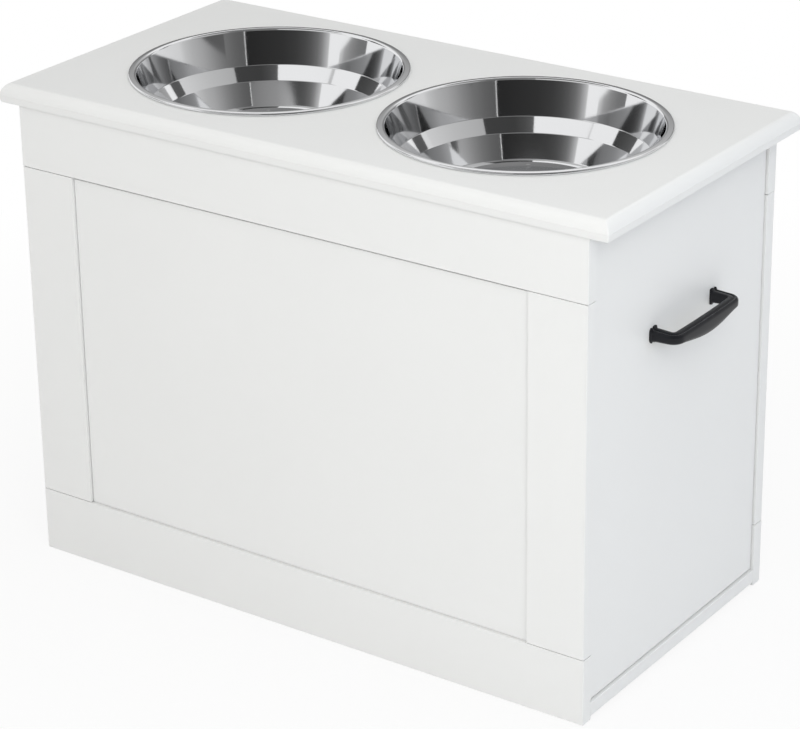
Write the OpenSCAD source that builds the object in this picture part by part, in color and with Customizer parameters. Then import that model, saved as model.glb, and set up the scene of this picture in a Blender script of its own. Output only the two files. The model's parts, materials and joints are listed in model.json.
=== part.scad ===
/* [Top board] */
// Thickness of the top board
top_t = 16; // [14:1:22]
// How far the top board stands out over the ends
side_overhang = 19; // [10:1:30]
// How far the top board stands out over the front frame
front_overhang = 4; // [2:1:8]
// How far the top board stands out over the back frame
back_overhang = 8; // [2:1:12]
// Height of the plain band under the moulded edge
edge_band = 6.5; // [4:0.5:8]
// Width of the little step above the band
edge_step = 1; // [0.5:0.5:2]
// How far the rounded moulding runs in past the step
edge_round = 6.5; // [4:0.5:9]

/* [Cabinet] */
// Height of the cabinet under the top board
cabinet_h = 418; // [380:2:520]
// Width of the cabinet along the front
cabinet_w = 562; // [540:2:700]
// Depth of the cabinet, front to back
cabinet_d = 294; // [284:2:360]
// Thickness of the frame boards, the end panel and the bottom
board_t = 12; // [12:1:15]
// Thickness of the framed panels
panel_t = 9; // [8:0.5:9]
// Height of the top rails
top_rail_h = 55; // [45:1:70]
// Height of the bottom rails
bottom_rail_h = 59; // [45:1:80]
// Width of the stiles
stile_w = 54; // [40:1:70]
// Gap between the floor and the bottom board
bottom_lift = 3.5; // [2:0.5:8]
// How far the end panels stand back from the frame ends
end_inset = 2.5; // [1:0.5:4]
// Depth of the panel tongue in its groove
tongue_l = 5; // [3:0.5:7]
// Thickness of the panel tongue
tongue_t = 4; // [3:0.5:5]
// Height of the cross rail over the drawer
cross_rail_h = 60; // [40:2:70]
// Side of the square cleats under the top board
cleat_s = 15; // [12:1:16]

/* [Bowls] */
// Gap between the rims of the two bowls
bowl_apart = 18; // [6:1:60]
// Outside radius of the rolled rim
rim_r = 120; // [96:0.5:121]
// Width of the rim outside the mouth
rim_w = 6; // [5.5:0.5:10]
// How much the upper wall narrows on its way down
upper_draft = 8; // [5:0.5:9]
// Depth of the upper edge of the shoulder
shoulder_z = 29; // [24:1:36]
// Width of the shoulder
shoulder_w = 8.5; // [6:0.5:12]
// Depth of the lower edge of the shoulder
lower_z = 41; // [38:1:46]
// How much the lower wall narrows on its way to the floor
lower_draft = 10; // [3:0.5:12]
// Depth of the bowl under the top board
bowl_depth = 67; // [60:1:80]
// Radius between the wall and the floor
floor_round = 9; // [5:0.5:14]
// Thickness of the steel sheet
bowl_sheet = 0.8; // [0.6:0.1:1.2]
// Gap all round the bowl wall in its hole
hole_gap = 1.6; // [1:0.2:3]

/* [Drawer] */
// Length of the drawer box
box_l = 430; // [410:5:470]
// Height of the drawer box
box_h = 250; // [180:5:280]
// Height of the drawer box over the bottom board
box_lift = 8; // [4:1:20]
// Thickness of the drawer box boards
box_t = 12; // [10:1:15]
// Thickness of the drawer bottom
base_t = 5; // [3:0.5:6]
// Height of the bottom's groove over the lower edge
base_z = 10; // [8:1:16]
// Gap round the drawer front
front_gap = 1.2; // [1:0.2:2.5]

/* [Handle] */
// Distance between the handle screws
handle_pitch = 96; // [96:32:160]
// How far the handle stands out
handle_out = 27; // [25:1:36]
// Height of the handle screws over the floor
handle_z = 303; // [220:1:330]
// Thickness of the grip
grip_t = 7.5; // [6:0.5:10]
// Half height of the legs
leg_half = 5.2; // [4.5:0.1:7]
// Extra height of the grip above its middle line
grip_up = 1.6; // [0:0.1:3]
// Extra height of the grip below its middle line
grip_down = 4.6; // [0:0.1:6]
// Radius of the bends
bend_r = 10; // [8:0.5:14]
// Half angle of the bowed grip
bow_a = 8; // [4:1:12]

/* [Slides] */
// Length of a closed slide
slide_l = 400; // [350:10:400]
// Height of the cabinet member
slide_h = 45; // [45:1:50]
// Thickness of a closed slide
slide_t = 12.7; // [12.7:0.1:13.5]
// Height of the slides over the floor
slide_z = 96; // [70:2:140]
// Thickness of the slide sheet
sheet_t = 1; // [0.8:0.1:1.1]
// Diameter of the balls
ball_d = 3; // [2.6:0.2:3]
// Number of balls in a row
ball_count = 8; // [4:1:10]
// Distance between balls
ball_pitch = 22; // [12:1:24]

/* [Fittings] */
// Diameter of a frame dowel
dowel_d = 6; // [5:1:6]
// Length of a frame dowel
dowel_l = 30; // [24:2:40]
// Diameter of a cam
cam_d = 14.8; // [12:0.2:14.8]
// Depth of a cam
cam_h = 9.5; // [8:0.5:10]
// Distance from the board's end to the middle of a cam
cam_set = 24; // [20:1:34]
// Diameter of a wood screw
screw_d = 3.5; // [3:0.5:4]

/* [Hidden] */
$fn = 48;
fit = 0.05;
groove_gap = 0.2;
eps = 0.01;

top_w = cabinet_w + 2 * side_overhang;
top_d = cabinet_d + front_overhang + back_overhang;
mid_y = (front_overhang - back_overhang) / 2;
half_w = cabinet_w / 2;
half_in = cabinet_d / 2 - board_t;
near_y = mid_y - cabinet_d / 2;
near_in = near_y + board_t;
top_z = cabinet_h + top_t;
rail_z = cabinet_h - top_rail_h;
panel_in = near_in - panel_t;
tongue_y = near_in - panel_t / 2;
stile_x = half_w - stile_w;
bottom_top = bottom_lift + board_t;
bottom_mid = bottom_lift + board_t / 2;
end_out = half_w - end_inset;
end_in = end_out - board_t;
end_mid = end_out - board_t / 2;
bowl_x = rim_r + bowl_apart / 2;
mouth_r = rim_r - rim_w;
shoulder_r = mouth_r - upper_draft;
lower_r = shoulder_r - shoulder_w;
floor_r = lower_r - lower_draft;
hole_r = mouth_r + bowl_sheet / 2 + hole_gap;

cross_gap = 2.5;
cross_x = end_in - cross_gap - board_t / 2;
cross_mid = cabinet_h - cross_rail_h / 2;

slide_front = end_in - 2.5;
slide_mid_x = slide_front - slide_l / 2;
member_setback = 2;
race_r = ball_d / 2 + 0.2;
race_line = race_r + sheet_t / 2;
flange_line = slide_h / 2 - sheet_t / 2;
outer_ball = [5.2, flange_line - race_line];
wave_a = 27.5;
inner_ball = outer_ball + 2 * race_line * [cos(wave_a), -sin(wave_a)];
crest_a = 55;
crest_r = 0.75;
crest = outer_ball - (race_line + crest_r) * [cos(crest_a), sin(crest_a)];
web_line = crest.x - crest_r;
drawer_web = slide_t - sheet_t / 2;
drawer_flange = inner_ball.y - race_line;
hook_a = 20;
inner_hook_a = 40;
cage_t = 0.6;
cage_l = 180;

box_half = half_in - slide_t;
box_z0 = bottom_top + box_lift;
box_z1 = box_z0 + box_h;
box_x1 = end_in;
box_x0 = box_x1 - box_l;
sub_x0 = box_x1 - box_t;
groove_d = box_t / 2;
base_lo = box_z0 + base_z;

pilot_d = screw_d;
head_d = 2 * screw_d;
head_sink = 0.3;
cross_bar = 0.9;
slide_holes = [-165, -40, 185];
slide_bite = 8;
top_bite = 9;
rail_bite = 7;
front_bite = 8;
box_bite = 18;
hole_spare = 0.5;
bolt_head_d = 7;
bolt_neck_d = 4.8;
bolt_thread_d = 5;
bolt_wood = 8;
cam_reach = cam_set - 3;
m4 = 4;

// A box between two corners
module box(lo, hi) {
  translate(lo) cube(hi - lo);
}

// A round bar along Y, from its middle point
module bar_y(at, d, l) {
  translate(at) rotate([90, 0, 0]) cylinder(d = d, h = l, center = true);
}

// The same thing on the far side of the cabinet
module far_side() {
  translate([0, 2 * mid_y, 0]) mirror([0, 1, 0]) children();
}

// The same thing on both long sides
module both_sides() {
  children();
  far_side() children();
}

// Points on an arc round c, from angle a0 to a1; first = 1 leaves out the point that the path already has
function arc(c, r, a0, a1, n, first = 0) =
  [for (i = [first:n]) let (a = a0 + (a1 - a0) * i / n) c + r * [cos(a), sin(a)]];

function unit(v) = v / norm(v);

function turn(a) = a > 180 ? a - 360 : a < -180 ? a + 360 : a;

// The corner at b between a and c, rounded with radius r
function corner(a, b, c, r, n = 6) =
  let (u = unit(a - b), v = unit(c - b), half = acos(u * v) / 2)
  let (m = b + unit(u + v) * r / sin(half), p = b + u * r / tan(half), q = b + v * r / tan(half))
  let (a0 = atan2(p.y - m.y, p.x - m.x), a1 = atan2(q.y - m.y, q.x - m.x))
  arc(m, r, a0, a0 + turn(a1 - a0), n);

// The left-hand normal of a path at point i, mitred between its two segments
function side(path, i) =
  let (n = len(path) - 1)
  let (u = unit(path[min(i + 1, n)] - path[min(i, n - 1)]), v = unit(path[max(i, 1)] - path[max(i - 1, 0)]))
  let (m = unit(u + v))
  [-m.y, m.x] / (m * u);

// The outline of a sheet of thickness t along a middle line
function sheet(path, t) = concat(
  [for (i = [0:len(path) - 1]) path[i] + side(path, i) * t / 2],
  [for (i = [len(path) - 1:-1:0]) path[i] - side(path, i) * t / 2]);

// A path that starts on the middle line, joined to its mirror image below it
function mirrored(path) = concat([for (i = [len(path) - 1:-1:1]) [path[i].x, -path[i].y]], path);

// Outline of the top board across a width w, standing on zero
function moulded(w) =
  let (a0 = 15, a1 = 80, rise = top_t - edge_band)
  let (half = [for (i = [0:8]) let (a = a0 + (a1 - a0) * i / 8) [
    w / 2 - edge_step - edge_round * (cos(a0) - cos(a)) / (cos(a0) - cos(a1)),
    edge_band + rise * (sin(a) - sin(a0)) / (sin(a1) - sin(a0))]])
  concat([[-w / 2, 0], [w / 2, 0], [w / 2, edge_band]], half,
    [for (i = [8:-1:0]) [-half[i].x, half[i].y]], [[-w / 2, edge_band]]);

module top_board() {
  color("white") difference() {
    translate([0, 0, cabinet_h]) intersection() {
      rotate([90, 0, 0]) linear_extrude(top_d + 2, center = true) polygon(moulded(top_w));
      rotate([90, 0, 90]) linear_extrude(top_w + 2, center = true) polygon(moulded(top_d));
    }
    for (x = [-bowl_x, bowl_x])
      translate([x, 0, cabinet_h - 1]) cylinder(r = hole_r, h = top_t + 2, $fn = 96);
    both_sides() cleat_sites()
      translate([0, 0, cleat_s]) cylinder(d = pilot_d + 2 * fit, h = top_bite + 1);
  }
}

// Frame joints: two dowels at each end of each stile
module dowel_sites() {
  for (s = [-1, 1], k = [-1, 1], z = [rail_z, bottom_rail_h])
    translate([s * (half_w - stile_w / 2 + k * stile_w / 4), near_in - board_t / 2, z]) children();
}

module dowel_holes() {
  dowel_sites() cylinder(d = dowel_d + 2 * fit, h = dowel_l + 1, center = true);
}

// Groove that the panel's tongue runs in, on all four sides of the opening
module panel_groove() {
  d = tongue_l + groove_gap;
  t = tongue_t / 2 + groove_gap;
  box([-stile_x - d, tongue_y - t, bottom_rail_h - d], [stile_x + d, tongue_y + t, rail_z + d]);
}

// Where a cam bolt enters the frame: [x, z], and the way its cam's open face looks
cam_x = half_w - 61;
cam_sites = [
  [[-cam_x, bottom_mid], [0, 0, 0]], [[0, bottom_mid], [0, 0, 0]], [[cam_x, bottom_mid], [0, 0, 0]],
  [[-end_mid, bottom_rail_h + 40], [0, -90, 0]], [[-end_mid, rail_z - 40], [0, -90, 0]],
  [[cross_x, cross_mid], [0, 90, 0]]
];

module cam_bolt_holes() {
  for (s = cam_sites) bar_y([s[0].x, near_in, s[0].y], bolt_thread_d + 2 * fit, 2 * bolt_wood + 1);
}

// Round seat of each cam, and the hole for its bolt in the board's end
module cam_holes() {
  for (s = cam_sites) {
    translate([s[0].x, near_in + cam_set, s[0].y]) rotate(s[1])
      translate([0, 0, -board_t / 2 - 1]) cylinder(d = cam_d + 0.2, h = cam_h + 1.2);
    bar_y([s[0].x, near_in + cam_set / 2 - 1, s[0].y], bolt_head_d + 0.4, cam_set + 2);
  }
}

// Screws that hold the near cabinet member: into the stile or the panel
module slide_screw_sites() {
  for (x = slide_holes) translate([slide_mid_x + x, near_in, slide_z]) children();
}

module slide_pilots() {
  slide_screw_sites() bar_y([0, 0, 0], pilot_d + 2 * fit, 2 * (slide_bite + hole_spare));
}

// Where the cleats are screwed up into the top board
module cleat_sites() {
  for (x = [-220, 0, 210]) translate([x, near_in + cleat_s / 2, cabinet_h - cleat_s]) children();
}

// Where the cleats are screwed sideways into the top rail
module rail_sites() {
  for (x = [-180, -40, 40, 170])
    translate([x, near_in + cleat_s, cabinet_h - cleat_s / 2]) rotate([90, 0, 0]) children();
}

module top_rail() {
  color("white") difference() {
    box([-half_w, near_y, rail_z], [half_w, near_in, cabinet_h]);
    dowel_holes();
    panel_groove();
    cam_bolt_holes();
    rail_sites() translate([0, 0, cleat_s - 1]) cylinder(d = pilot_d + 2 * fit, h = rail_bite + 2.5);
  }
}

module bottom_rail() {
  color("white") difference() {
    box([-half_w, near_y, 0], [half_w, near_in, bottom_rail_h]);
    dowel_holes();
    panel_groove();
    cam_bolt_holes();
  }
}

module left_stile() {
  color("white") difference() {
    box([-half_w, near_y, bottom_rail_h], [-stile_x, near_in, rail_z]);
    dowel_holes();
    panel_groove();
    cam_bolt_holes();
  }
}

module right_stile() {
  color("white") difference() {
    box([stile_x, near_y, bottom_rail_h], [half_w, near_in, rail_z]);
    dowel_holes();
    panel_groove();
    slide_pilots();
  }
}

module framed_panel() {
  t = tongue_t / 2;
  color("white") difference() {
    union() {
      box([-stile_x, panel_in, bottom_rail_h], [stile_x, near_in, rail_z]);
      box([-stile_x - tongue_l, tongue_y - t, bottom_rail_h - tongue_l],
        [stile_x + tongue_l, tongue_y + t, rail_z + tongue_l]);
    }
    slide_pilots();
  }
}

module front_top_rail() { top_rail(); }

module front_bottom_rail() { bottom_rail(); }

module front_left_stile() { left_stile(); }

module front_right_stile() { right_stile(); }

module front_panel() { framed_panel(); }

module back_top_rail() { far_side() top_rail(); }

module back_bottom_rail() { far_side() bottom_rail(); }

module back_left_stile() { far_side() left_stile(); }

module back_right_stile() { far_side() right_stile(); }

module back_panel() { far_side() framed_panel(); }

module left_side_panel() {
  color("white") difference() {
    box([-end_out, mid_y - half_in, bottom_top], [-end_in, mid_y + half_in, cabinet_h]);
    both_sides() cam_holes();
  }
}

module right_cross_rail() {
  x = cross_x - board_t / 2;
  color("white") difference() {
    box([x, mid_y - half_in, cabinet_h - cross_rail_h], [x + board_t, mid_y + half_in, cabinet_h]);
    both_sides() cam_holes();
  }
}

module bottom_board() {
  color("white") difference() {
    box([-half_w, mid_y - half_in, bottom_lift], [half_w, mid_y + half_in, bottom_top]);
    both_sides() cam_holes();
  }
}

module top_cleat() {
  color("burlywood") difference() {
    box([-end_in, near_in, cabinet_h - cleat_s], [cross_x - board_t / 2, near_in + cleat_s, cabinet_h]);
    cleat_sites() screw_hole(cleat_s + 1);
    rail_sites() screw_hole(cleat_s + 1);
  }
}

module front_top_cleat() { top_cleat(); }

module back_top_cleat() { far_side() top_cleat(); }

// A countersunk hole that starts at the surface and runs up
module screw_hole(l) {
  translate([0, 0, -eps]) cylinder(d = screw_d + 0.6, h = l);
  translate([0, 0, -eps]) cylinder(d = head_d + 0.4, h = head_sink + eps);
  translate([0, 0, head_sink]) cylinder(d1 = head_d + 0.4, d2 = screw_d + 0.4, h = (head_d - screw_d) / 2);
}

// Cross for the screwdriver, cut up into a head whose outer face is at zero
module cross(w = 3.4, depth = 1.2) {
  for (a = [0, 90])
    rotate(a) translate([-w / 2, -cross_bar / 2, -eps]) cube([w, cross_bar, depth]);
}

// A countersunk wood screw, head down at zero, point up
module wood_screw(l) {
  r = screw_d / 2;
  neck = head_sink + head_d / 2 - r;
  color("silver") difference() {
    rotate_extrude() polygon([
      [0, head_sink], [head_d / 2, head_sink], [r, neck], [r, l - 2.5], [0.4, l - 0.2], [0, l]]);
    translate([0, 0, head_sink]) cross();
  }
}

module cleat_screws() {
  both_sides() {
    cleat_sites() wood_screw(cleat_s + top_bite);
    rail_sites() wood_screw(cleat_s + rail_bite);
  }
}

module frame_dowels() {
  r = dowel_d / 2;
  l = dowel_l / 2;
  color("burlywood") both_sides() dowel_sites() rotate_extrude() polygon([
    [0, -l], [r - 0.8, -l], [r, 0.8 - l], [r, l - 0.8], [r - 0.8, l], [0, l]]);
}

// One cam: a round body with a driver cross, open towards the bolt
module cam() {
  difference() {
    translate([0, 0, -board_t / 2 + 0.2]) cylinder(d = cam_d, h = cam_h);
    for (a = [0, 90])
      rotate(a) translate([0, 0, -board_t / 2]) cube([9, 1.6, 3], center = true);
    rotate([90, 0, 0]) cylinder(d = bolt_head_d + 0.6, h = cam_d);
    rotate([90, 0, 0]) translate([0, 0, -3]) cylinder(d = bolt_neck_d + 1, h = 4);
  }
}

module cam_locks() {
  color("silver") both_sides() for (s = cam_sites)
    translate([s[0].x, near_in + cam_set, s[0].y]) rotate(s[1]) cam();
}

// A cam bolt along Z: thread in the frame below zero, collar at zero, neck and head above
module cam_bolt() {
  head = bolt_head_d / 2;
  neck = bolt_neck_d / 2;
  thread = bolt_thread_d / 2;
  rotate_extrude() polygon([
    [0, -bolt_wood], [thread - 0.9, -bolt_wood], [thread, 1.5 - bolt_wood], [thread, 0], [head, 0],
    [head, 2], [neck, 2.6], [neck, cam_reach - 3], [head - 0.5, cam_reach - 2],
    [head - 0.5, cam_reach], [0, cam_reach]]);
}

module cam_bolts() {
  color("silver") both_sides() for (s = cam_sites)
    translate([s[0].x, near_in, s[0].y]) rotate([-90, 0, 0]) cam_bolt();
}

// Places a slide's cross section: first coordinate away from the near frame, second up
module slide_bar(l, back) {
  translate([slide_front - back, near_in, slide_z]) rotate([90, 0, -90]) mirror([1, 0, 0])
    linear_extrude(l) children();
}

// Middle lines of the three members, from the middle of the web to the upper race
cabinet_line = concat([[sheet_t / 2, 0]],
  corner([sheet_t / 2, 0], [sheet_t / 2, flange_line], [4, flange_line], 1.2, 4),
  arc(outer_ball, race_line, 90, hook_a, 8));
middle_line = concat([[web_line, 0]], arc(crest, crest_r, 180, crest_a, 4),
  arc(outer_ball, race_line, 180 + crest_a, 360 - wave_a, 8, 1),
  arc(inner_ball, race_line, 180 - wave_a, inner_hook_a, 8, 1));
drawer_line = concat([[drawer_web, 0]],
  corner([drawer_web, 0], [drawer_web, drawer_flange], [inner_ball.x, drawer_flange], 1.2, 4),
  arc(inner_ball, race_line, 270, 180 + hook_a, 8));

module cabinet_slide() {
  color("gainsboro") difference() {
    slide_bar(slide_l, 0) polygon(sheet(mirrored(cabinet_line), sheet_t));
    slide_screw_sites() bar_y([0, 0, 0], screw_d + 0.6, 4);
  }
}

module middle_slide() {
  color("gainsboro") slide_bar(slide_l - 2 * member_setback, member_setback)
    polygon(sheet(mirrored(middle_line), sheet_t));
}

module drawer_slide() {
  color("gainsboro") difference() {
    slide_bar(slide_l, 0) polygon(sheet(mirrored(drawer_line), sheet_t));
    slide_screw_sites() bar_y([0, slide_t, 0], screw_d + 0.6, 4);
  }
}

module near_cabinet_slide() { cabinet_slide(); }

module far_cabinet_slide() { far_side() cabinet_slide(); }

module near_middle_slide() { middle_slide(); }

module far_middle_slide() { far_side() middle_slide(); }

module near_drawer_slide() { drawer_slide(); }

module far_drawer_slide() { far_side() drawer_slide(); }

// A flat screw whose head lies on the sheet: head from zero down, shank from zero up
module sheet_screw(l, head) {
  color("silver") difference() {
    rotate_extrude() polygon([
      [0, -head], [head_d / 2 - 0.5, -head], [head_d / 2, -head / 3], [head_d / 2, 0], [screw_d / 2, 0],
      [screw_d / 2, l - 2], [0.4, l], [0, l]]);
    translate([0, 0, -head]) cross(2.6, head);
  }
}

module cabinet_slide_screws() {
  both_sides() slide_screw_sites() translate([0, sheet_t, 0]) rotate([90, 0, 0]) sheet_screw(slide_bite, 0.9);
}

module drawer_slide_screws() {
  both_sides() slide_screw_sites()
    translate([0, slide_t - sheet_t, 0]) rotate([-90, 0, 0]) sheet_screw(slide_bite + sheet_t, 1.5);
}

// Balls of one row, in the cross section's own plane
module ball_sites(at) {
  for (i = [0:ball_count - 1], s = [-1, 1])
    translate([slide_mid_x + (i - (ball_count - 1) / 2) * ball_pitch, near_in + at.x, slide_z + s * at.y])
      children();
}

// A flat comb that keeps one row of balls apart: from y0 to y1 across the slide
module cage(at, y0, y1) {
  difference() {
    for (s = [-1, 1]) translate([slide_mid_x, near_in, slide_z + s * at.y])
      box([-cage_l / 2, y0, -cage_t / 2], [cage_l / 2, y1, cage_t / 2]);
    ball_sites(at) cylinder(d = ball_d + 2 * fit, h = 2, center = true);
  }
}

module outer_ball_cages() {
  color("goldenrod") both_sides()
    cage(outer_ball, sheet_t + 0.3, outer_ball.x + ball_d / 2 - 0.2);
}

module inner_ball_cages() {
  color("goldenrod") both_sides()
    cage(inner_ball, inner_ball.x - ball_d / 2 + 0.2, slide_t - sheet_t - 0.35);
}

module outer_balls() {
  color("silver") both_sides() ball_sites(outer_ball) sphere(d = ball_d, $fn = 24);
}

module inner_balls() {
  color("silver") both_sides() ball_sites(inner_ball) sphere(d = ball_d, $fn = 24);
}

// Screws that hold the drawer front to the drawer box, from inside the drawer
module front_screw_sites() {
  for (s = [-1, 1], z = [box_z0 + 35, box_z1 - 35])
    translate([sub_x0, mid_y + s * (box_half - box_t - 30), z]) rotate([0, 90, 0]) children();
}

// Screws through the drawer sides into the ends of the subfront and the back
module box_screw_sites() {
  for (x = [box_x0 + box_t / 2, box_x1 - box_t / 2], z = [box_z0 + 30, box_z0 + box_h * 0.6, box_z1 - 18])
    translate([x, mid_y - box_half, z]) rotate([-90, 0, 0]) children();
}

module handle_screw_sites() {
  for (s = [-1, 1]) translate([end_in, s * handle_pitch / 2, handle_z]) rotate([0, 90, 0]) children();
}

module drawer_front() {
  color("white") difference() {
    box([end_in, mid_y - half_in + front_gap, bottom_top + front_gap],
      [end_out, mid_y + half_in - front_gap, cabinet_h - front_gap]);
    handle_screw_sites() translate([0, 0, -1]) cylinder(d = m4 + 0.5, h = board_t + 2);
    front_screw_sites() cylinder(d = pilot_d + 2 * fit, h = box_t + front_bite + hole_spare);
  }
}

// Groove for the drawer bottom, running round inside the box
module base_groove() {
  y = box_half - box_t + groove_d;
  box([box_x0 + box_t - groove_d, mid_y - y, base_lo - groove_gap],
    [sub_x0 + groove_d, mid_y + y, base_lo + base_t + groove_gap]);
}

module drawer_subfront() {
  y = box_half - box_t;
  color("whitesmoke") difference() {
    box([sub_x0, mid_y - y, box_z0], [box_x1, mid_y + y, box_z1]);
    base_groove();
    front_screw_sites() screw_hole(box_t + 1);
    both_sides() box_screw_sites() cylinder(d = pilot_d + 2 * fit, h = box_t + box_bite + hole_spare);
  }
}

module drawer_back() {
  y = box_half - box_t;
  color("whitesmoke") difference() {
    box([box_x0, mid_y - y, box_z0], [box_x0 + box_t, mid_y + y, box_z1]);
    base_groove();
    both_sides() box_screw_sites() cylinder(d = pilot_d + 2 * fit, h = box_t + box_bite + hole_spare);
  }
}

module box_side() {
  y = mid_y - box_half;
  color("whitesmoke") difference() {
    box([box_x0, y, box_z0], [box_x1, y + box_t, box_z1]);
    base_groove();
    box_screw_sites() screw_hole(box_t + 1);
    slide_screw_sites() bar_y([0, slide_t, 0], pilot_d + 2 * fit, 2 * (slide_bite + hole_spare));
  }
}

module drawer_near_side() { box_side(); }

module drawer_far_side() { far_side() box_side(); }

module drawer_bottom() {
  y = box_half - box_t + groove_d - groove_gap;
  x = groove_d - groove_gap;
  color("whitesmoke")
    box([box_x0 + box_t - x, mid_y - y, base_lo], [sub_x0 + x, mid_y + y, base_lo + base_t]);
}

module drawer_front_screws() {
  front_screw_sites() wood_screw(box_t + front_bite);
}

module drawer_box_screws() {
  both_sides() box_screw_sites() wood_screw(box_t + box_bite);
}

// Middle line of the handle in plan, out from the drawer front and along it: [out, along, turn]
grip_half = handle_pitch / 2 - bend_r * (1 - sin(bow_a));
bow_r = grip_half / sin(bow_a);
bow_rise = bow_r * (1 - cos(bow_a));
leg_l = handle_out - grip_t / 2 - bend_r * cos(bow_a) - bow_rise;
flange_l = 1.4;
handle_half = concat(
  [for (x = [0, flange_l, flange_l + 1.2, leg_l]) [x, -handle_pitch / 2, 0]],
  [for (i = [1:7]) let (a = (90 - bow_a) * i / 7)
    [leg_l + bend_r * sin(a), bend_r - handle_pitch / 2 - bend_r * cos(a), a]],
  [for (i = [1:9]) let (a = bow_a * (1 - i / 9))
    [handle_out - grip_t / 2 - bow_r * (1 - cos(a)), -bow_r * sin(a), 90 - a]]);
handle_n = len(handle_half);
handle_stations = concat(handle_half,
  [for (i = [handle_n - 2:-1:0]) [handle_half[i].x, -handle_half[i].y, 180 - handle_half[i].z]]);

// Outline of the grip: share of its thickness outwards, share of its half height
grip_outline = [
  [-0.5, -0.8], [-0.5, 0.8], [-0.42, 0.96], [-0.3, 1], [0, 1], [0.06, 0.9], [0.13, 0.9], [0.2, 0.98],
  [0.34, 0.92], [0.44, 0.72], [0.5, 0.3], [0.5, -0.3], [0.44, -0.72], [0.34, -0.92], [0.2, -0.98],
  [0.13, -0.9], [0.06, -0.9], [0, -1], [-0.3, -1], [-0.42, -0.96]];

// One station's ring of points: the foot flares, and the grip swells in the middle
function handle_ring(s) =
  let (foot = s.x <= flange_l, swell = pow(cos(min(90, abs(s.y) / grip_half * 90)), 1.2))
  let (t = foot ? grip_t + 3.5 : grip_t, up = foot ? leg_half + 2.6 : leg_half + grip_up * swell)
  let (down = foot ? leg_half + 2.6 : leg_half + grip_down * swell)
  [for (p = grip_outline) [
    s.x + t * p.x * sin(s.z), s.y - t * p.x * cos(s.z), p.y > 0 ? up * p.y : down * p.y]];

module handle_body() {
  n = len(grip_outline);
  m = len(handle_stations);
  points = [for (s = handle_stations) each handle_ring(s)];
  sides = [for (i = [0:m - 2], j = [0:n - 1]) let (k = (j + 1) % n)
    each [[i * n + j, i * n + k, (i + 1) * n + j], [i * n + k, (i + 1) * n + k, (i + 1) * n + j]]];
  ends = [[for (j = [n - 1:-1:0]) j], [for (j = [0:n - 1]) (m - 1) * n + j]];
  polyhedron(points, concat(sides, ends));
}

module drawer_handle() {
  color("black") difference() {
    translate([end_out, 0, handle_z]) handle_body();
    handle_screw_sites() cylinder(d = m4 + 2 * fit, h = board_t + 9.5);
  }
}

module handle_screws() {
  color("silver") handle_screw_sites() difference() {
    rotate_extrude() polygon([
      [0, -2.4], [2.6, -2.4], [3.8, -1], [3.8, 0], [m4 / 2, 0], [m4 / 2, board_t + 8], [1.4, board_t + 9],
      [0, board_t + 9]]);
    translate([0, 0, -2.4]) cross(3.4, 1.5);
  }
}

// Middle line of the bowl sheet, from the middle of the floor to the edge of the rolled rim
rim_lift = 2.2;
rim_edge = rim_r - bowl_sheet / 2;
bowl_line = concat([[0, -bowl_depth]],
  corner([0, -bowl_depth], [floor_r, -bowl_depth], [lower_r, -lower_z], floor_round, 8),
  corner([floor_r, -bowl_depth], [lower_r, -lower_z], [shoulder_r, -shoulder_z], 3),
  corner([lower_r, -lower_z], [shoulder_r, -shoulder_z], [mouth_r, rim_lift], 3),
  corner([shoulder_r, -shoulder_z], [mouth_r, rim_lift], [rim_edge, rim_lift - 0.5], 2.2),
  corner([mouth_r, rim_lift], [rim_edge, rim_lift - 0.5], [rim_edge, 0.3], 0.8, 4),
  [[rim_edge, 0.3]]);

module bowl() {
  color("silver") translate([0, 0, top_z]) rotate_extrude($fn = 96) polygon(sheet(bowl_line, bowl_sheet));
}

module bowl_left() { translate([-bowl_x, 0, 0]) bowl(); }

module bowl_right() { translate([bowl_x, 0, 0]) bowl(); }

top_board();
front_top_rail();
front_bottom_rail();
front_left_stile();
front_right_stile();
front_panel();
back_top_rail();
back_bottom_rail();
back_left_stile();
back_right_stile();
back_panel();
left_side_panel();
right_cross_rail();
bottom_board();
front_top_cleat();
back_top_cleat();
cleat_screws();
frame_dowels();
cam_locks();
cam_bolts();
near_cabinet_slide();
far_cabinet_slide();
cabinet_slide_screws();
near_middle_slide();
far_middle_slide();
outer_ball_cages();
outer_balls();
inner_ball_cages();
inner_balls();
near_drawer_slide();
far_drawer_slide();
drawer_slide_screws();
drawer_front();
drawer_handle();
handle_screws();
drawer_subfront();
drawer_back();
drawer_near_side();
drawer_far_side();
drawer_bottom();
drawer_front_screws();
drawer_box_screws();
bowl_left();
bowl_right();
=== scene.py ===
import bpy, bmesh, json, math
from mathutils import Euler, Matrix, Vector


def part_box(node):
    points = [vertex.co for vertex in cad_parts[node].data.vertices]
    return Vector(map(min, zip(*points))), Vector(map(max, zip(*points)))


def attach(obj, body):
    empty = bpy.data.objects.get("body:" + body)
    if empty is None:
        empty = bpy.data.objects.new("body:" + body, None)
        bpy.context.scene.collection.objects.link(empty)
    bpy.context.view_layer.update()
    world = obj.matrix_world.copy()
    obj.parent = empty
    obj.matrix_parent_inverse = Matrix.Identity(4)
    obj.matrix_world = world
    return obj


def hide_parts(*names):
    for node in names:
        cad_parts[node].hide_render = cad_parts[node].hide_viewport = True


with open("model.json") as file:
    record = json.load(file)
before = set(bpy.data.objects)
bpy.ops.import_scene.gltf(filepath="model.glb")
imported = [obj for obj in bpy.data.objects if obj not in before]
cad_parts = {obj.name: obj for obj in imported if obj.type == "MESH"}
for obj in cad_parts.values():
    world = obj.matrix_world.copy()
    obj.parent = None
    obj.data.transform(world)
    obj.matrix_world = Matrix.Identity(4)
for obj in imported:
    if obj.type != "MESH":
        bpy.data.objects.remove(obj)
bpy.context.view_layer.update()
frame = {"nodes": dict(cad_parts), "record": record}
record = frame["record"]
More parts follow.
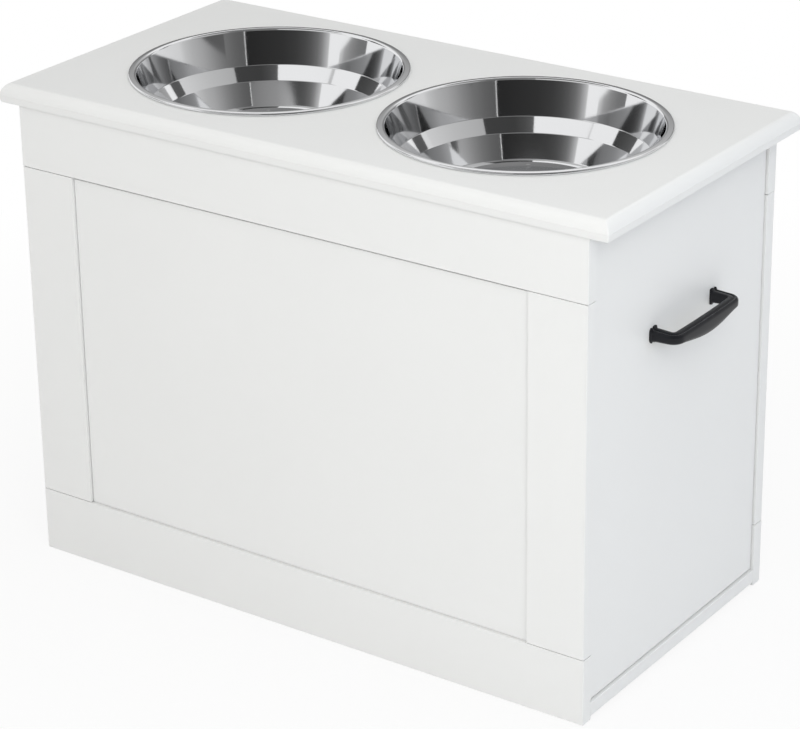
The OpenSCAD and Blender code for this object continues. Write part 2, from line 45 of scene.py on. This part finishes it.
print("frame loaded:", len(frame["nodes"]), "nodes")


# one shader socket, with Python's operators adding Math nodes
class Wire:
    def __init__(self, finish, socket):
        self.finish, self.socket = finish, socket

    def maths(self, operation, *values, **settings):
        settings["operation"] = operation
        return self.finish.node("ShaderNodeMath", settings, dict(enumerate(values)))

    def __add__(self, other):
        return self.maths("ADD", self, other)

    def __radd__(self, other):
        return self.maths("ADD", other, self)

    def __sub__(self, other):
        return self.maths("SUBTRACT", self, other)

    def __rsub__(self, other):
        return self.maths("SUBTRACT", other, self)

    def __mul__(self, other):
        return self.maths("MULTIPLY", self, other)

    def __rmul__(self, other):
        return self.maths("MULTIPLY", other, self)

    def __truediv__(self, other):
        return self.maths("DIVIDE", self, other)

    def __rtruediv__(self, other):
        return self.maths("DIVIDE", other, self)

    def clamped(self):
        return self.maths("ADD", self, 0.0, use_clamp=True)


# one procedural material under construction
class Finish:
    def __init__(self, name, holder=None):
        self.owner = holder or bpy.data.materials.new(name)
        self.owner.use_nodes = True
        self.tree = self.owner.node_tree
        self.tree.nodes.clear()

    # any node: its settings first, then the values or links of its sockets
    def node(self, kind, settings=None, values=None, out=0):
        made = self.tree.nodes.new(kind)
        for key, value in (settings or {}).items():
            if key == "stops":
                ramp = made.color_ramp
                while len(ramp.elements) < len(value):
                    ramp.elements.new(1.0)
                for stop, (place, shade) in zip(ramp.elements, value):
                    stop.position, stop.color = place, (*tinted(shade), 1.0)
            else:
                setattr(made, key, value)
        for key, value in (values or {}).items():
            if isinstance(value, Wire):
                self.tree.links.new(value.socket, made.inputs[key])
            else:
                made.inputs[key].default_value = value
        return Wire(self, made.outputs[out])

    def where(self):
        return self.node("ShaderNodeTexCoord", out="Object")

    def place(self, stretch=(1.0, 1.0, 1.0)):
        return self.node("ShaderNodeMapping", None, {"Vector": self.where(), "Scale": stretch})

    def noise(self, scale, detail=3.0, roughness=0.5, where=None):
        return self.node("ShaderNodeTexNoise", {"noise_dimensions": "3D"}, {
            "Vector": where or self.place(), "Scale": scale, "Detail": detail, "Roughness": roughness})

    def blend(self, mask, first, second):
        return self.node("ShaderNodeMix", {"data_type": "RGBA"}, {
            "Factor": mask, 6: colour(first), 7: colour(second)}, out=2)

    def bump(self, height, depth, strength=1.0):
        return self.node("ShaderNodeBump", None, {"Height": height, "Distance": depth, "Strength": strength})

    # 1 for the camera's own rays and for mirror and glass rays, 0 for the others
    def seen(self):
        kinds = ("Camera", "Glossy", "Transmission")
        direct, mirrored, through = (self.node("ShaderNodeLightPath", out=f"Is {kind} Ray") for kind in kinds)
        return (direct + mirrored + through).clamped()

    def surface(self, **sockets):
        values = {key.replace("_", " "): value for key, value in sockets.items()}
        self.end(self.node("ShaderNodeBsdfPrincipled", None, values, "BSDF"))
        return self.owner

    def end(self, shader, kind="ShaderNodeOutputMaterial"):
        made = self.tree.nodes.new(kind)
        self.tree.links.new(shader.socket, made.inputs["Surface"])


def tinted(shade):
    return (shade, shade, shade) if isinstance(shade, float) else shade


def darkened(shade, share):
    return tuple(channel * share for channel in shade)


def colour(value):
    return value if isinstance(value, Wire) else (*tinted(value), 1.0)


# finishes

boardLook = {"shade": (0.800, 0.802, 0.800), "darker": 0.965, "roughness": 0.36, "peelDepth": 0.00002}
drawerLook = {"shade": (0.765, 0.762, 0.750), "darker": 0.95, "roughness": 0.48, "peelDepth": 0.00003}
satinLook = {"cloudScale": 7.0, "speckScale": 900.0, "peelScale": 420.0, "cloudShare": 0.8, "speckShare": 0.2,
             "cloudRough": 0.10, "speckRough": 0.03, "peelStrength": 0.6, "ior": 1.46}


# satin white board: faint clouds and specks, with a little orange peel
def satinBoard(name, look):
    f = Finish(name)
    p = satinLook
    cloud = f.noise(p["cloudScale"], 2.0)
    speck = f.noise(p["speckScale"], 2.0, 0.6)
    peel = f.noise(p["peelScale"], 2.0, 0.5)
    mask = (cloud * p["cloudShare"] + speck * p["speckShare"]).clamped()
    return f.surface(
        Base_Color=f.blend(mask, darkened(look["shade"], look["darker"]), look["shade"]),
        Roughness=look["roughness"] + p["cloudRough"] * cloud + p["speckRough"] * speck,
        Normal=f.bump(peel, look["peelDepth"], p["peelStrength"]),
        IOR=p["ior"])


woodLook = {"pale": (0.60, 0.43, 0.26), "dark": (0.42, 0.27, 0.145), "stretch": (6.0, 90.0, 90.0),
            "ringScale": 1.6, "ringContrast": 1.6, "ringOffset": 0.4, "fibreScale": 14.0,
            "fibreContrast": 0.5, "roughness": 0.62, "fibreRough": 0.2, "fibreDepth": 0.00012,
            "fibreStrength": 0.7}


# bare softwood with its grain along X
def rawWood():
    f = Finish("raw pine")
    look = woodLook
    where = f.place(look["stretch"])
    rings = f.noise(look["ringScale"], 4.0, 0.55, where)
    fibre = f.noise(look["fibreScale"], 3.0, 0.7, where)
    mask = rings * look["ringContrast"] - look["ringOffset"] + (fibre - 0.5) * look["fibreContrast"]
    return f.surface(
        Base_Color=f.blend(mask.clamped(), look["dark"], look["pale"]),
        Roughness=look["roughness"] + look["fibreRough"] * fibre,
        Normal=f.bump(fibre, look["fibreDepth"], look["fibreStrength"]))


steelLook = {"shade": (0.80, 0.805, 0.815), "darker": 0.97, "roughness": 0.035, "smearScale": 22.0,
             "smearRough": 0.03, "ringScale": 1500.0, "ringRough": 0.02, "ringDepth": 0.0000012}


# polished sheet: rings left by the polishing wheel run round the bowl's axis
def bowlSteel(name, centre):
    f = Finish(name)
    look = steelLook
    apart = f.node("ShaderNodeVectorMath", {"operation": "SUBTRACT"}, {0: f.where(), 1: (*centre, 0.0)})
    flat = f.node("ShaderNodeVectorMath", {"operation": "MULTIPLY"}, {0: apart, 1: (1.0, 1.0, 0.0)})
    radius = f.node("ShaderNodeVectorMath", {"operation": "LENGTH"}, {0: flat}, out="Value")
    height = f.node("ShaderNodeSeparateXYZ", None, {0: apart}, out="Z")
    line = f.node("ShaderNodeCombineXYZ", None, {
        0: radius * look["ringScale"], 1: height * look["ringScale"]})
    rings = f.noise(1.0, 2.0, 0.6, line)
    smear = f.noise(look["smearScale"], 3.0, 0.6)
    return f.surface(
        Base_Color=f.blend(smear, darkened(look["shade"], look["darker"]), look["shade"]),
        Metallic=1.0,
        Roughness=look["roughness"] + look["smearRough"] * smear + look["ringRough"] * rings,
        Normal=f.bump(rings, look["ringDepth"]))


metalLooks = {
    "zinc": {
        "shade": (0.56, 0.575, 0.59), "dark": (0.40, 0.415, 0.43), "roughness": 0.30, "spangle": 160.0},
    "slide_steel": {
        "shade": (0.60, 0.61, 0.62), "dark": (0.50, 0.51, 0.525), "roughness": 0.24, "spangle": 60.0},
    "ball_steel": {
        "shade": (0.74, 0.745, 0.75), "dark": (0.70, 0.705, 0.71), "roughness": 0.08, "spangle": 300.0},
    "cage_steel": {
        "shade": (0.62, 0.52, 0.27), "dark": (0.50, 0.44, 0.30), "roughness": 0.30, "spangle": 90.0},
}
drawnLook = {"stretch": (40.0, 2200.0, 2200.0), "depth": 0.000006, "strength": 0.7, "contrast": 1.5,
             "offset": 0.25, "patchRough": 0.16}


# plated metal: spangle patches over fine lines drawn along X
def platedSteel(name):
    f = Finish(name)
    look = metalLooks[name]
    d = drawnLook
    patch = f.noise(look["spangle"], 3.0, 0.6)
    drawn = f.noise(1.0, 3.0, 0.6, f.place(d["stretch"]))
    mask = (patch * d["contrast"] - d["offset"]).clamped()
    return f.surface(
        Base_Color=f.blend(mask, look["dark"], look["shade"]),
        Metallic=1.0,
        Roughness=look["roughness"] + d["patchRough"] * patch,
        Normal=f.bump(drawn, d["depth"], d["strength"]))


handleLook = {"shade": (0.0065, 0.0070, 0.0092), "pale": (0.0105, 0.0112, 0.0138), "cloudScale": 60.0,
              "roughness": 0.30, "sheen": 0.25, "pebbleScale": 1500.0, "pebbleRough": 0.12,
              "pebbleDepth": 0.00003, "pebbleStrength": 0.5}


def powderBlack():
    f = Finish("satin black")
    look = handleLook
    pebble = f.noise(look["pebbleScale"], 2.0, 0.5)
    cloud = f.noise(look["cloudScale"], 2.0)
    return f.surface(
        Base_Color=f.blend(cloud, look["shade"], look["pale"]),
        Roughness=look["roughness"] + look["pebbleRough"] * pebble,
        Specular_IOR_Level=look["sheen"],
        Normal=f.bump(pebble, look["pebbleDepth"], look["pebbleStrength"]))


white = satinBoard("white board", boardLook)
finishes = {
    "white_board": white,
    "drawer_board": satinBoard("plain drawer board", drawerLook),
    "raw_wood": rawWood(),
    "handle_black": powderBlack(),
    **{name: platedSteel(name) for name in metalLooks},
}
for part in record["subparts"]:
    finish = finishes.get(part["material_slot"])
    if finish:
        for materialSlot in frame["nodes"][part["node"]].material_slots:
            materialSlot.material = finish
print("finishes made:", len(finishes))


# pieces

def addPiece(name, bm, finish, node, sharpAngle=None):
    mesh = bpy.data.meshes.new(name)
    bm.to_mesh(mesh)
    bm.free()
    mesh.materials.append(finish)
    if sharpAngle:
        mesh.set_sharp_from_angle(angle=math.radians(sharpAngle))
    piece = bpy.data.objects.new(name, mesh)
    bpy.context.scene.collection.objects.link(piece)
    body = next(b for b, nodes in record["behaviour"]["bodies"].items() if node in nodes)
    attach(piece, body)
    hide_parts(node)
    return piece


# points round a vertical axis
def circle(bm, x, y, z, radius, steps):
    turns = [2 * math.pi * i / steps for i in range(steps)]
    return [bm.verts.new((x + radius * math.cos(a), y + radius * math.sin(a), z)) for a in turns]


# smooth faces between closed rings, where a ring of one point closes to a fan
def joinRings(bm, rings):
    steps = max(len(ring) for ring in rings)
    for first, second in zip(rings, rings[1:]):
        for i in range(steps):
            j = (i + 1) % steps
            corners = [ring[k % len(ring)] for ring, k in ((first, i), (first, j), (second, j), (second, i))]
            bm.faces.new(list(dict.fromkeys(corners))).smooth = True


boardShape = {"ease": 0.0002, "steps": 2, "jointGap": 0.0003, "tongue": 0.005, "panelPlay": 0.0018}


# a board with eased edges, drawn in from its node's box
def easedBoard(node, inset=(0.0, 0.0, 0.0), lowered=0.0):
    low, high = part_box(node)
    low, high = low + Vector(inset), high - Vector(inset) - Vector((0.0, 0.0, lowered))
    bm = bmesh.new()
    bmesh.ops.create_cube(bm, size=1.0)
    for v in bm.verts:
        v.co = Vector(l if c < 0 else h for c, l, h in zip(v.co, low, high))
    bmesh.ops.bevel(
        bm, geom=bm.edges[:], offset=boardShape["ease"], segments=boardShape["steps"], profile=0.5,
        affect="EDGES")
    return addPiece(f"{node}_board", bm, white, node)


gap, tongue = boardShape["jointGap"], boardShape["tongue"]
for side in ("front", "back"):
    easedBoard(f"{side}_top_rail", (0.0, 0.0, gap))
    easedBoard(f"{side}_bottom_rail", (0.0, 0.0, gap))
    easedBoard(f"{side}_left_stile", (gap, 0.0, gap))
    easedBoard(f"{side}_right_stile", (gap, 0.0, gap))
    easedBoard(f"{side}_panel", (tongue + gap, 0.0, tongue), boardShape["panelPlay"])
for node in ("left_side_panel", "right_cross_rail", "bottom_board"):
    easedBoard(node, (0.0, gap, 0.0))
easedBoard("drawer_front")
print("boards made")


topShape = {"foot": 0.0004, "under": 0.0009, "band": 0.0065, "step": 0.0003, "round": 0.0072,
            "fromAngle": 15.0, "toAngle": 80.0, "steps": 10, "corner": 0.0012, "cornerSteps": 3,
            "holeRadius": 0.116, "holeX": 0.129, "holeSteps": 128, "sharpAngle": 8.0}


# the moulded edge from below: how far in and how high each of its rings lies
def mouldingLevels(thick):
    s = topShape
    a0, a1 = math.radians(s["fromAngle"]), math.radians(s["toAngle"])
    levels = [(s["under"] + s["foot"], 0.0), (s["under"], s["foot"]), (0.0, s["band"])]
    for i in range(s["steps"] + 1):
        a = a0 + (a1 - a0) * i / s["steps"]
        across = (math.cos(a0) - math.cos(a)) / (math.cos(a0) - math.cos(a1))
        up = (math.sin(a) - math.sin(a0)) / (math.sin(a1) - math.sin(a0))
        levels.append((s["step"] + s["round"] * across, s["band"] + (thick - s["band"]) * up))
    return levels


# a rectangle with rounded corners, drawn in from the board's outline
def boardRing(bm, low, high, inset, z):
    corner, steps = topShape["corner"], topShape["cornerSteps"]
    ring = []
    for k, (sx, sy) in enumerate(((1, -1), (1, 1), (-1, 1), (-1, -1))):
        cx = (high.x if sx > 0 else low.x) - sx * (inset + corner)
        cy = (high.y if sy > 0 else low.y) - sy * (inset + corner)
        for j in range(steps + 1):
            a = math.radians(-90 + 90 * k + 90 * j / steps)
            ring.append(bm.verts.new((cx + corner * math.cos(a), cy + corner * math.sin(a), z)))
    return ring


# the top board: rings up the moulded edge, with the underside and the top filled round the two holes
def mouldedTop():
    s = topShape
    low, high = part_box("top_board")
    bm = bmesh.new()
    rings = [boardRing(bm, low, high, inset, low.z + up) for inset, up in mouldingLevels(high.z - low.z)]
    joinRings(bm, rings)
    holes = []
    for x in (-s["holeX"], s["holeX"]):
        holes.append([circle(bm, x, 0.0, z, s["holeRadius"], s["holeSteps"]) for z in (low.z, high.z)])
        joinRings(bm, holes[-1][::-1])
    for level, ring in ((0, rings[0]), (1, rings[-1])):
        edges = []
        for loop in [ring] + [hole[level] for hole in holes]:
            for a, b in zip(loop, loop[1:] + loop[:1]):
                edges.append(bm.edges.get((a, b)) or bm.edges.new((a, b)))
        filled = bmesh.ops.triangle_fill(bm, use_beauty=True, use_dissolve=False, edges=edges)
        for part in filled["geom"]:
            if isinstance(part, bmesh.types.BMFace):
                part.smooth = False
    bmesh.ops.recalc_face_normals(bm, faces=bm.faces[:])
    return addPiece("moulded_top", bm, white, "top_board", s["sharpAngle"])


mouldedTop()
print("top board made")


# depths below the top board's face, radii to the middle of the sheet
bowlShape = {"depth": 0.067, "floorRadius": 0.0875, "lowerRadius": 0.0975, "lowerDepth": 0.041,
             "shoulderRadius": 0.106, "shoulderDepth": 0.029, "mouthRadius": 0.114, "rimEdge": 0.1196,
             "rimLift": 0.0022, "rimFall": 0.0005, "lip": 0.0003, "sheet": 0.0008, "floorRound": 0.009,
             "shoulderRound": 0.003, "mouthRound": 0.0022, "lipRound": 0.0008, "flatShare": 0.88,
             "flatSteps": 12, "turns": 192, "axis": 0.000001, "mitre": 0.5, "sharpAngle": 60.0}


# the rounded corner at b between a and c
def roundedCorner(a, b, c, radius, steps):
    a, b, c = Vector(a), Vector(b), Vector(c)
    u, v = (a - b).normalized(), (c - b).normalized()
    half = u.angle(v) / 2
    middle = b + (u + v).normalized() * radius / math.sin(half)
    start, end = b + u * radius / math.tan(half) - middle, b + v * radius / math.tan(half) - middle
    sweep = start.angle_signed(end)
    first = math.atan2(start.y, start.x)
    angles = [first - sweep * i / steps for i in range(steps + 1)]
    return [middle + radius * Vector((math.cos(angle), math.sin(angle))) for angle in angles]


# from the middle of the floor up to the lip
def bowlLine():
    s = bowlShape
    corners = [
        (0.0, -s["depth"]),
        (s["floorRadius"], -s["depth"]),
        (s["lowerRadius"], -s["lowerDepth"]),
        (s["shoulderRadius"], -s["shoulderDepth"]),
        (s["mouthRadius"], s["rimLift"]),
        (s["rimEdge"], s["rimLift"] - s["rimFall"]),
        (s["rimEdge"], s["lip"]),
    ]
    bends = [
        ("floorRound", 14), ("shoulderRound", 8), ("shoulderRound", 8), ("mouthRound", 10), ("lipRound", 6)]
    flat = s["floorRadius"] * s["flatShare"]
    line = [Vector((flat * i / s["flatSteps"], -s["depth"])) for i in range(s["flatSteps"])]
    for a, b, c, (size, steps) in zip(corners, corners[1:], corners[2:], bends):
        line += roundedCorner(a, b, c, s[size], steps)
    return line + [Vector(corners[-1])]


# the sheet's inner side and back along its outer side
def sheetLoop(line, half, mitre):
    inner, outer = [], []
    for i, p in enumerate(line):
        before = (p - line[i - 1]).normalized() if i else Vector((1.0, 0.0))
        after = (line[i + 1] - p).normalized() if i + 1 < len(line) else before
        along = (before + after).normalized()
        side = Vector((-along.y, along.x)) / max(mitre, along.dot(before))
        inner.append(p + side * half)
        outer.append(p - side * half)
    return inner + outer[::-1]


def spunBowl(name, node):
    s = bowlShape
    low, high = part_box(node)
    centre = (low + high) / 2
    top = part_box("top_board")[1].z
    bm = bmesh.new()
    rings = []
    for p in sheetLoop(bowlLine(), s["sheet"] / 2, s["mitre"]):
        rings.append(circle(bm, centre.x, centre.y, top + p.y, p.x, s["turns"] if p.x > s["axis"] else 1))
    joinRings(bm, rings)
    bmesh.ops.recalc_face_normals(bm, faces=bm.faces[:])
    steel = bowlSteel(name + " steel", (centre.x, centre.y))
    return addPiece(name, bm, steel, node, s["sharpAngle"])


spunBowl("left_steel_bowl", "bowl_left")
spunBowl("right_steel_bowl", "bowl_right")
print("bowls made")


pullShape = {"pitch": 0.096, "out": 0.027, "height": 0.303, "thick": 0.0088, "legHalf": 0.0043,
             "legFoot": 0.0008, "up": 0.0004, "down": 0.0054, "swellPower": 1.2, "bend": 0.0066,
             "bendSteps": 12, "bow": 3.0, "barSteps": 16, "flange": 0.0013, "flareOver": 0.0012,
             "flare": 0.0020, "flareSide": 0.0014, "edgeDepth": 0.0005, "edgeShare": 0.86, "sharpAngle": 55.0,
             "footAt": (0.0, 0.0002, 0.0007, 0.0011, 0.0014, 0.0017, 0.0020, 0.0023, 0.0026, 0.0034)}

# half outline of the grip: share of its thickness outwards, share of its half height
gripOutline = [(-0.5, 0.0), (-0.5, 0.6), (-0.49, 0.82), (-0.45, 0.94), (-0.37, 0.99), (-0.25, 1.0),
               (-0.10, 0.98), (-0.04, 0.92), (0.01, 0.80), (0.08, 0.74), (0.15, 0.78), (0.20, 0.88),
               (0.27, 0.93), (0.35, 0.89), (0.42, 0.76), (0.48, 0.58), (0.5, 0.38)]


# the pull's middle line from one foot to the other: distance out, place along the bar, turn
def pullStations(leg, face, bow, bowRadius):
    s = pullShape
    foot = -s["pitch"] / 2
    stations = [(out, foot, 0.0) for out in (*s["footAt"], leg)]
    for i in range(1, s["bendSteps"] + 1):
        a = (math.pi / 2 - bow) * i / s["bendSteps"]
        stations.append((leg + s["bend"] * math.sin(a), foot + s["bend"] * (1 - math.cos(a)), a))
    for i in range(1, s["barSteps"] + 1):
        a = bow * (1 - i / s["barSteps"])
        stations.append((face - bowRadius * (1 - math.cos(a)), -bowRadius * math.sin(a), math.pi / 2 - a))
    return stations + [(out, -along, math.pi - turn) for out, along, turn in reversed(stations[:-1])]


def pullHandle():
    s = pullShape
    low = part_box("drawer_handle")[0]
    bow = math.radians(s["bow"])
    half = s["pitch"] / 2 - s["bend"] * (1 - math.sin(bow))
    bowRadius = half / math.sin(bow)
    face = s["out"] - s["thick"] / 2
    leg = face - s["bend"] * math.cos(bow) - bowRadius * (1 - math.cos(bow))
    outline = gripOutline + [(p, -q) for p, q in reversed(gripOutline[1:])]
    bm = bmesh.new()
    rings = []
    for out, along, turn in pullStations(leg, face, bow, bowRadius):
        swell = math.cos(min(1.0, abs(along) / half) * math.pi / 2) ** s["swellPower"]
        fade = min(1.0, max(0.0, (out - s["flange"]) / s["flareOver"]))
        flare = 1 - fade * fade * (3 - 2 * fade)
        flare *= s["edgeShare"] + (1 - s["edgeShare"]) * min(1.0, out / s["edgeDepth"])
        plain = s["legHalf"] + s["legFoot"] * max(0.0, 1.0 - out / leg) + s["flare"] * flare
        thick = s["thick"] + s["flareSide"] * flare
        up = plain + s["up"] * swell
        down = plain + s["down"] * swell
        rings.append([bm.verts.new((
            low.x + out + thick * p * math.sin(turn), along - thick * p * math.cos(turn),
            s["height"] + (up if q > 0 else down) * q)) for p, q in outline])
    joinRings(bm, rings)
    bm.faces.new(rings[0])
    bm.faces.new(rings[-1])
    bmesh.ops.recalc_face_normals(bm, faces=bm.faces[:])
    black = finishes["handle_black"]
    return addPiece("bow_pull", bm, black, "drawer_handle", s["sharpAngle"])


pullHandle()
print("handle made")


# studio

cameraPlace = {"at": (1.3112, -1.8502, 1.1952), "turn": (66.926, 0.429, 34.216), "lens": 129.65,
               "sensor": 36.0, "shift": (-0.05, -0.0506), "clip": (0.05, 60.0)}
cam = bpy.data.objects.new("camera", bpy.data.cameras.new("camera"))
cam.location = cameraPlace["at"]
cam.rotation_euler = Euler([math.radians(a) for a in cameraPlace["turn"]], "XYZ")
cam.data.lens, cam.data.sensor_width = cameraPlace["lens"], cameraPlace["sensor"]
cam.data.shift_x, cam.data.shift_y = cameraPlace["shift"]
cam.data.clip_start, cam.data.clip_end = cameraPlace["clip"]
bpy.context.scene.collection.objects.link(cam)
bpy.context.scene.camera = cam

floorLook = {"size": 12.0, "below": 0.0002, "shade": 0.82, "darker": 0.99, "grainScale": 60.0, "glow": 0.86,
             "glowAt": 0.35, "fullAt": 1.0}


# a pale floor that keeps the object's shadow near it and turns to plain white further out
def paleFloor():
    look = floorLook
    f = Finish("pale floor")
    grain = f.noise(look["grainScale"], 2.0)
    plain = f.node("ShaderNodeBsdfDiffuse", None, {
        "Color": f.blend(grain, look["shade"] * look["darker"], look["shade"])})
    glow = f.node("ShaderNodeEmission", None, {"Color": (1.0, 1.0, 1.0, 1.0), "Strength": 1.0})
    apart = f.node("ShaderNodeVectorMath", {"operation": "LENGTH"}, {0: f.where()}, out="Value")
    far = ((apart - look["glowAt"]) / (look["fullAt"] - look["glowAt"])).clamped()
    bright = look["glow"] + (1.0 - look["glow"]) * far
    f.end(f.node("ShaderNodeMixShader", None, {0: f.seen() * bright, 1: plain, 2: glow}))
    mesh = bpy.data.meshes.new("floor")
    h = look["size"] / 2
    mesh.from_pydata([(-h, -h, 0.0), (h, -h, 0.0), (h, h, 0.0), (-h, h, 0.0)], [], [(0, 1, 2, 3)])
    mesh.materials.append(f.owner)
    floor = bpy.data.objects.new("floor", mesh)
    floor.location.z = -look["below"]
    bpy.context.scene.collection.objects.link(floor)


paleFloor()

skyLook = {"soft": (0.715, 0.71, 0.695)}


# white for the camera and the mirrors, softer as light
def studioSky():
    world = bpy.data.worlds.new("studio")
    bpy.context.scene.world = world
    f = Finish("studio", world)
    f.end(f.node("ShaderNodeBackground", None, {
        "Color": f.blend(f.seen(), skyLook["soft"], 1.0), "Strength": 1.0}), "ShaderNodeOutputWorld")


studioSky()

lamps = {
    "front": {
        "at": (0.5, -2.0, 0.8), "aim": (0.15, -0.1, 0.2), "size": (1.2, 1.0), "power": 4.6,
        "tint": (1.0, 1.0, 0.98)},
    "corner": {
        "at": (1.2, -1.2, 1.4), "aim": (0.25, -0.1, 0.3), "size": (1.0, 1.0), "power": 12.8,
        "tint": (0.98, 1.0, 1.0)},
    "top": {
        "at": (0.3, 0.5, 2.6), "aim": (0.0, 0.0, 0.4), "size": (1.8, 1.4), "power": 6.1,
        "tint": (0.94, 0.98, 1.0)},
    "side": {
        "at": (2.6, 0.9, 1.0), "aim": (0.2, 0.0, 0.2), "size": (1.4, 1.4), "power": 3.8,
        "tint": (0.17, 0.48, 1.0)},
}
for name, lamp in lamps.items():
    data = bpy.data.lights.new(name, "AREA")
    data.shape, data.size, data.size_y = "RECTANGLE", *lamp["size"]
    data.energy, data.color = lamp["power"], lamp["tint"]
    light = bpy.data.objects.new(name, data)
    light.location = lamp["at"]
    light.rotation_euler = (Vector(lamp["aim"]) - light.location).to_track_quat("-Z", "Y").to_euler()
    light.visible_glossy = False
    bpy.context.scene.collection.objects.link(light)

# cards that only mirrors see, on a dome round the bowls: sector and band in degrees from +X and the horizon,
# tones from the sector's start to its end, or up the band
cards = {
    "dark_room": {"sector": (-110.0, -31.9), "band": (-6.0, 24.6), "tones": [
        (0.0, 0.62), (0.05, 0.42), (0.09, 0.27), (0.14, 0.175), (0.22, 0.108), (0.30, 0.074), (0.40, 0.052),
        (0.56, 0.038), (1.0, 0.024)]},
    "soft_right": {"sector": (-31.25, 66.0), "band": (-6.0, 26.5), "tones": [
        (0.0, 0.115), (0.10, 0.145), (0.20, 0.20), (0.29, 0.28), (0.36, 0.36), (0.44, 0.445), (0.54, 0.52),
        (0.62, 0.62), (0.68, 0.76), (1.0, 0.88)]},
    "far_left": {"sector": (-149.0, -121.0), "band": (-6.0, 9.0), "tones": [
        (0.0, 0.20), (0.3, 0.21), (0.55, 0.27), (0.8, 0.38), (1.0, 0.70)]},
    "dark_bar": {"sector": (-12.0, 20.0), "band": (12.2, 16.0), "near": 0.05, "tones": [
        (0.0, 0.12), (1.0, 0.10)]},
    "grey_rise": {"sector": (-80.0, -31.9), "band": (24.6, 42.0), "tones": [
        (0.0, 0.50), (0.4, 0.34), (1.0, 0.24)]},
    "grey_rise_right": {"sector": (-31.9, -10.0), "band": (26.5, 42.0), "tones": [
        (0.0, 0.20), (1.0, 0.30)]},
    "dark_over": {"sector": (-65.0, -10.0), "band": (42.0, 57.0), "tones": [
        (0.0, 0.12), (0.2, 0.080), (0.4, 0.056), (1.0, 0.060)]},
    "soft_over_right": {"sector": (-10.0, 53.0), "band": (26.5, 57.0), "tones": [
        (0.0, 0.485), (0.5, 0.60), (1.0, 0.76)]},
    "post_right": {"sector": (53.5, 64.5), "band": (17.0, 36.0), "near": 0.05, "tones": [
        (0.0, 0.11), (1.0, 0.11)]},
    "post_left": {"sector": (-180.0, -157.0), "band": (17.0, 38.0), "tones": [
        (0.0, 0.12), (0.6, 0.075), (1.0, 0.055)]},
    "grey_over_left": {"sector": (-130.0, -80.0), "band": (24.6, 41.0), "tones": [
        (0.0, 0.62), (0.6, 0.54), (1.0, 0.48)]},
    "lid": {"sector": (-180.0, 179.9), "band": (57.0, 89.0), "tones": [
        (0.0, 0.22), (0.5, 0.26), (1.0, 0.22)]},
    "behind": {"sector": (72.0, 150.0), "band": (-2.0, 30.0), "rise": True, "tones": [
        (0.0, 0.16), (0.45, 0.22), (0.62, 0.38), (0.85, 0.52), (1.0, 0.66)]},
}
dome = {"radius": 4.0, "height": 0.43, "across": 40, "up": 10}


# emission tone along the card's own turn or height
def cardLook(name, card, half):
    f = Finish(name)
    where = f.where()
    x, y, z = (f.node("ShaderNodeSeparateXYZ", None, {0: where}, out=axis) for axis in "XYZ")
    if card.get("rise"):
        e0, e1 = (math.sin(math.radians(e)) for e in card["band"])
        along = (z / dome["radius"] - e0) / (e1 - e0)
    else:
        along = y.maths("ARCTAN2", y, x) / (2 * half) + 0.5
    tone = f.node("ShaderNodeValToRGB", {"stops": card["tones"]}, {0: along}, "Color")
    return f.surface(Base_Color=(0.0, 0.0, 0.0, 1.0), Roughness=1.0, Specular_IOR_Level=0.0,
                     Emission_Color=tone, Emission_Strength=1.0)


def addCard(name, card):
    (s0, s1), (e0, e1) = ([math.radians(a) for a in card[key]] for key in ("sector", "band"))
    half, middle = (s1 - s0) / 2, (s0 + s1) / 2
    radius = dome["radius"] - card.get("near", 0.0)
    bm = bmesh.new()
    rows = []
    for j in range(dome["up"] + 1):
        e = e0 + (e1 - e0) * j / dome["up"]
        turns = [half * (2 * i / dome["across"] - 1) for i in range(dome["across"] + 1)]
        rows.append([bm.verts.new((
            radius * math.cos(a) * math.cos(e), radius * math.sin(a) * math.cos(e), radius * math.sin(e)))
            for a in turns])
    for low, high in zip(rows, rows[1:]):
        for i in range(dome["across"]):
            bm.faces.new((low[i], high[i], high[i + 1], low[i + 1]))
    mesh = bpy.data.meshes.new(name)
    bm.to_mesh(mesh)
    bm.free()
    mesh.materials.append(cardLook(name, card, half))
    sheet = bpy.data.objects.new(name, mesh)
    sheet.location.z = dome["height"]
    sheet.rotation_euler.z = middle
    bpy.context.scene.collection.objects.link(sheet)
    for kind in ("camera", "diffuse", "transmission", "volume_scatter", "shadow"):
        setattr(sheet, "visible_" + kind, False)


for name, card in cards.items():
    addCard(name, card)
print("studio made")

bpy.context.scene.view_settings.view_transform = "Standard"
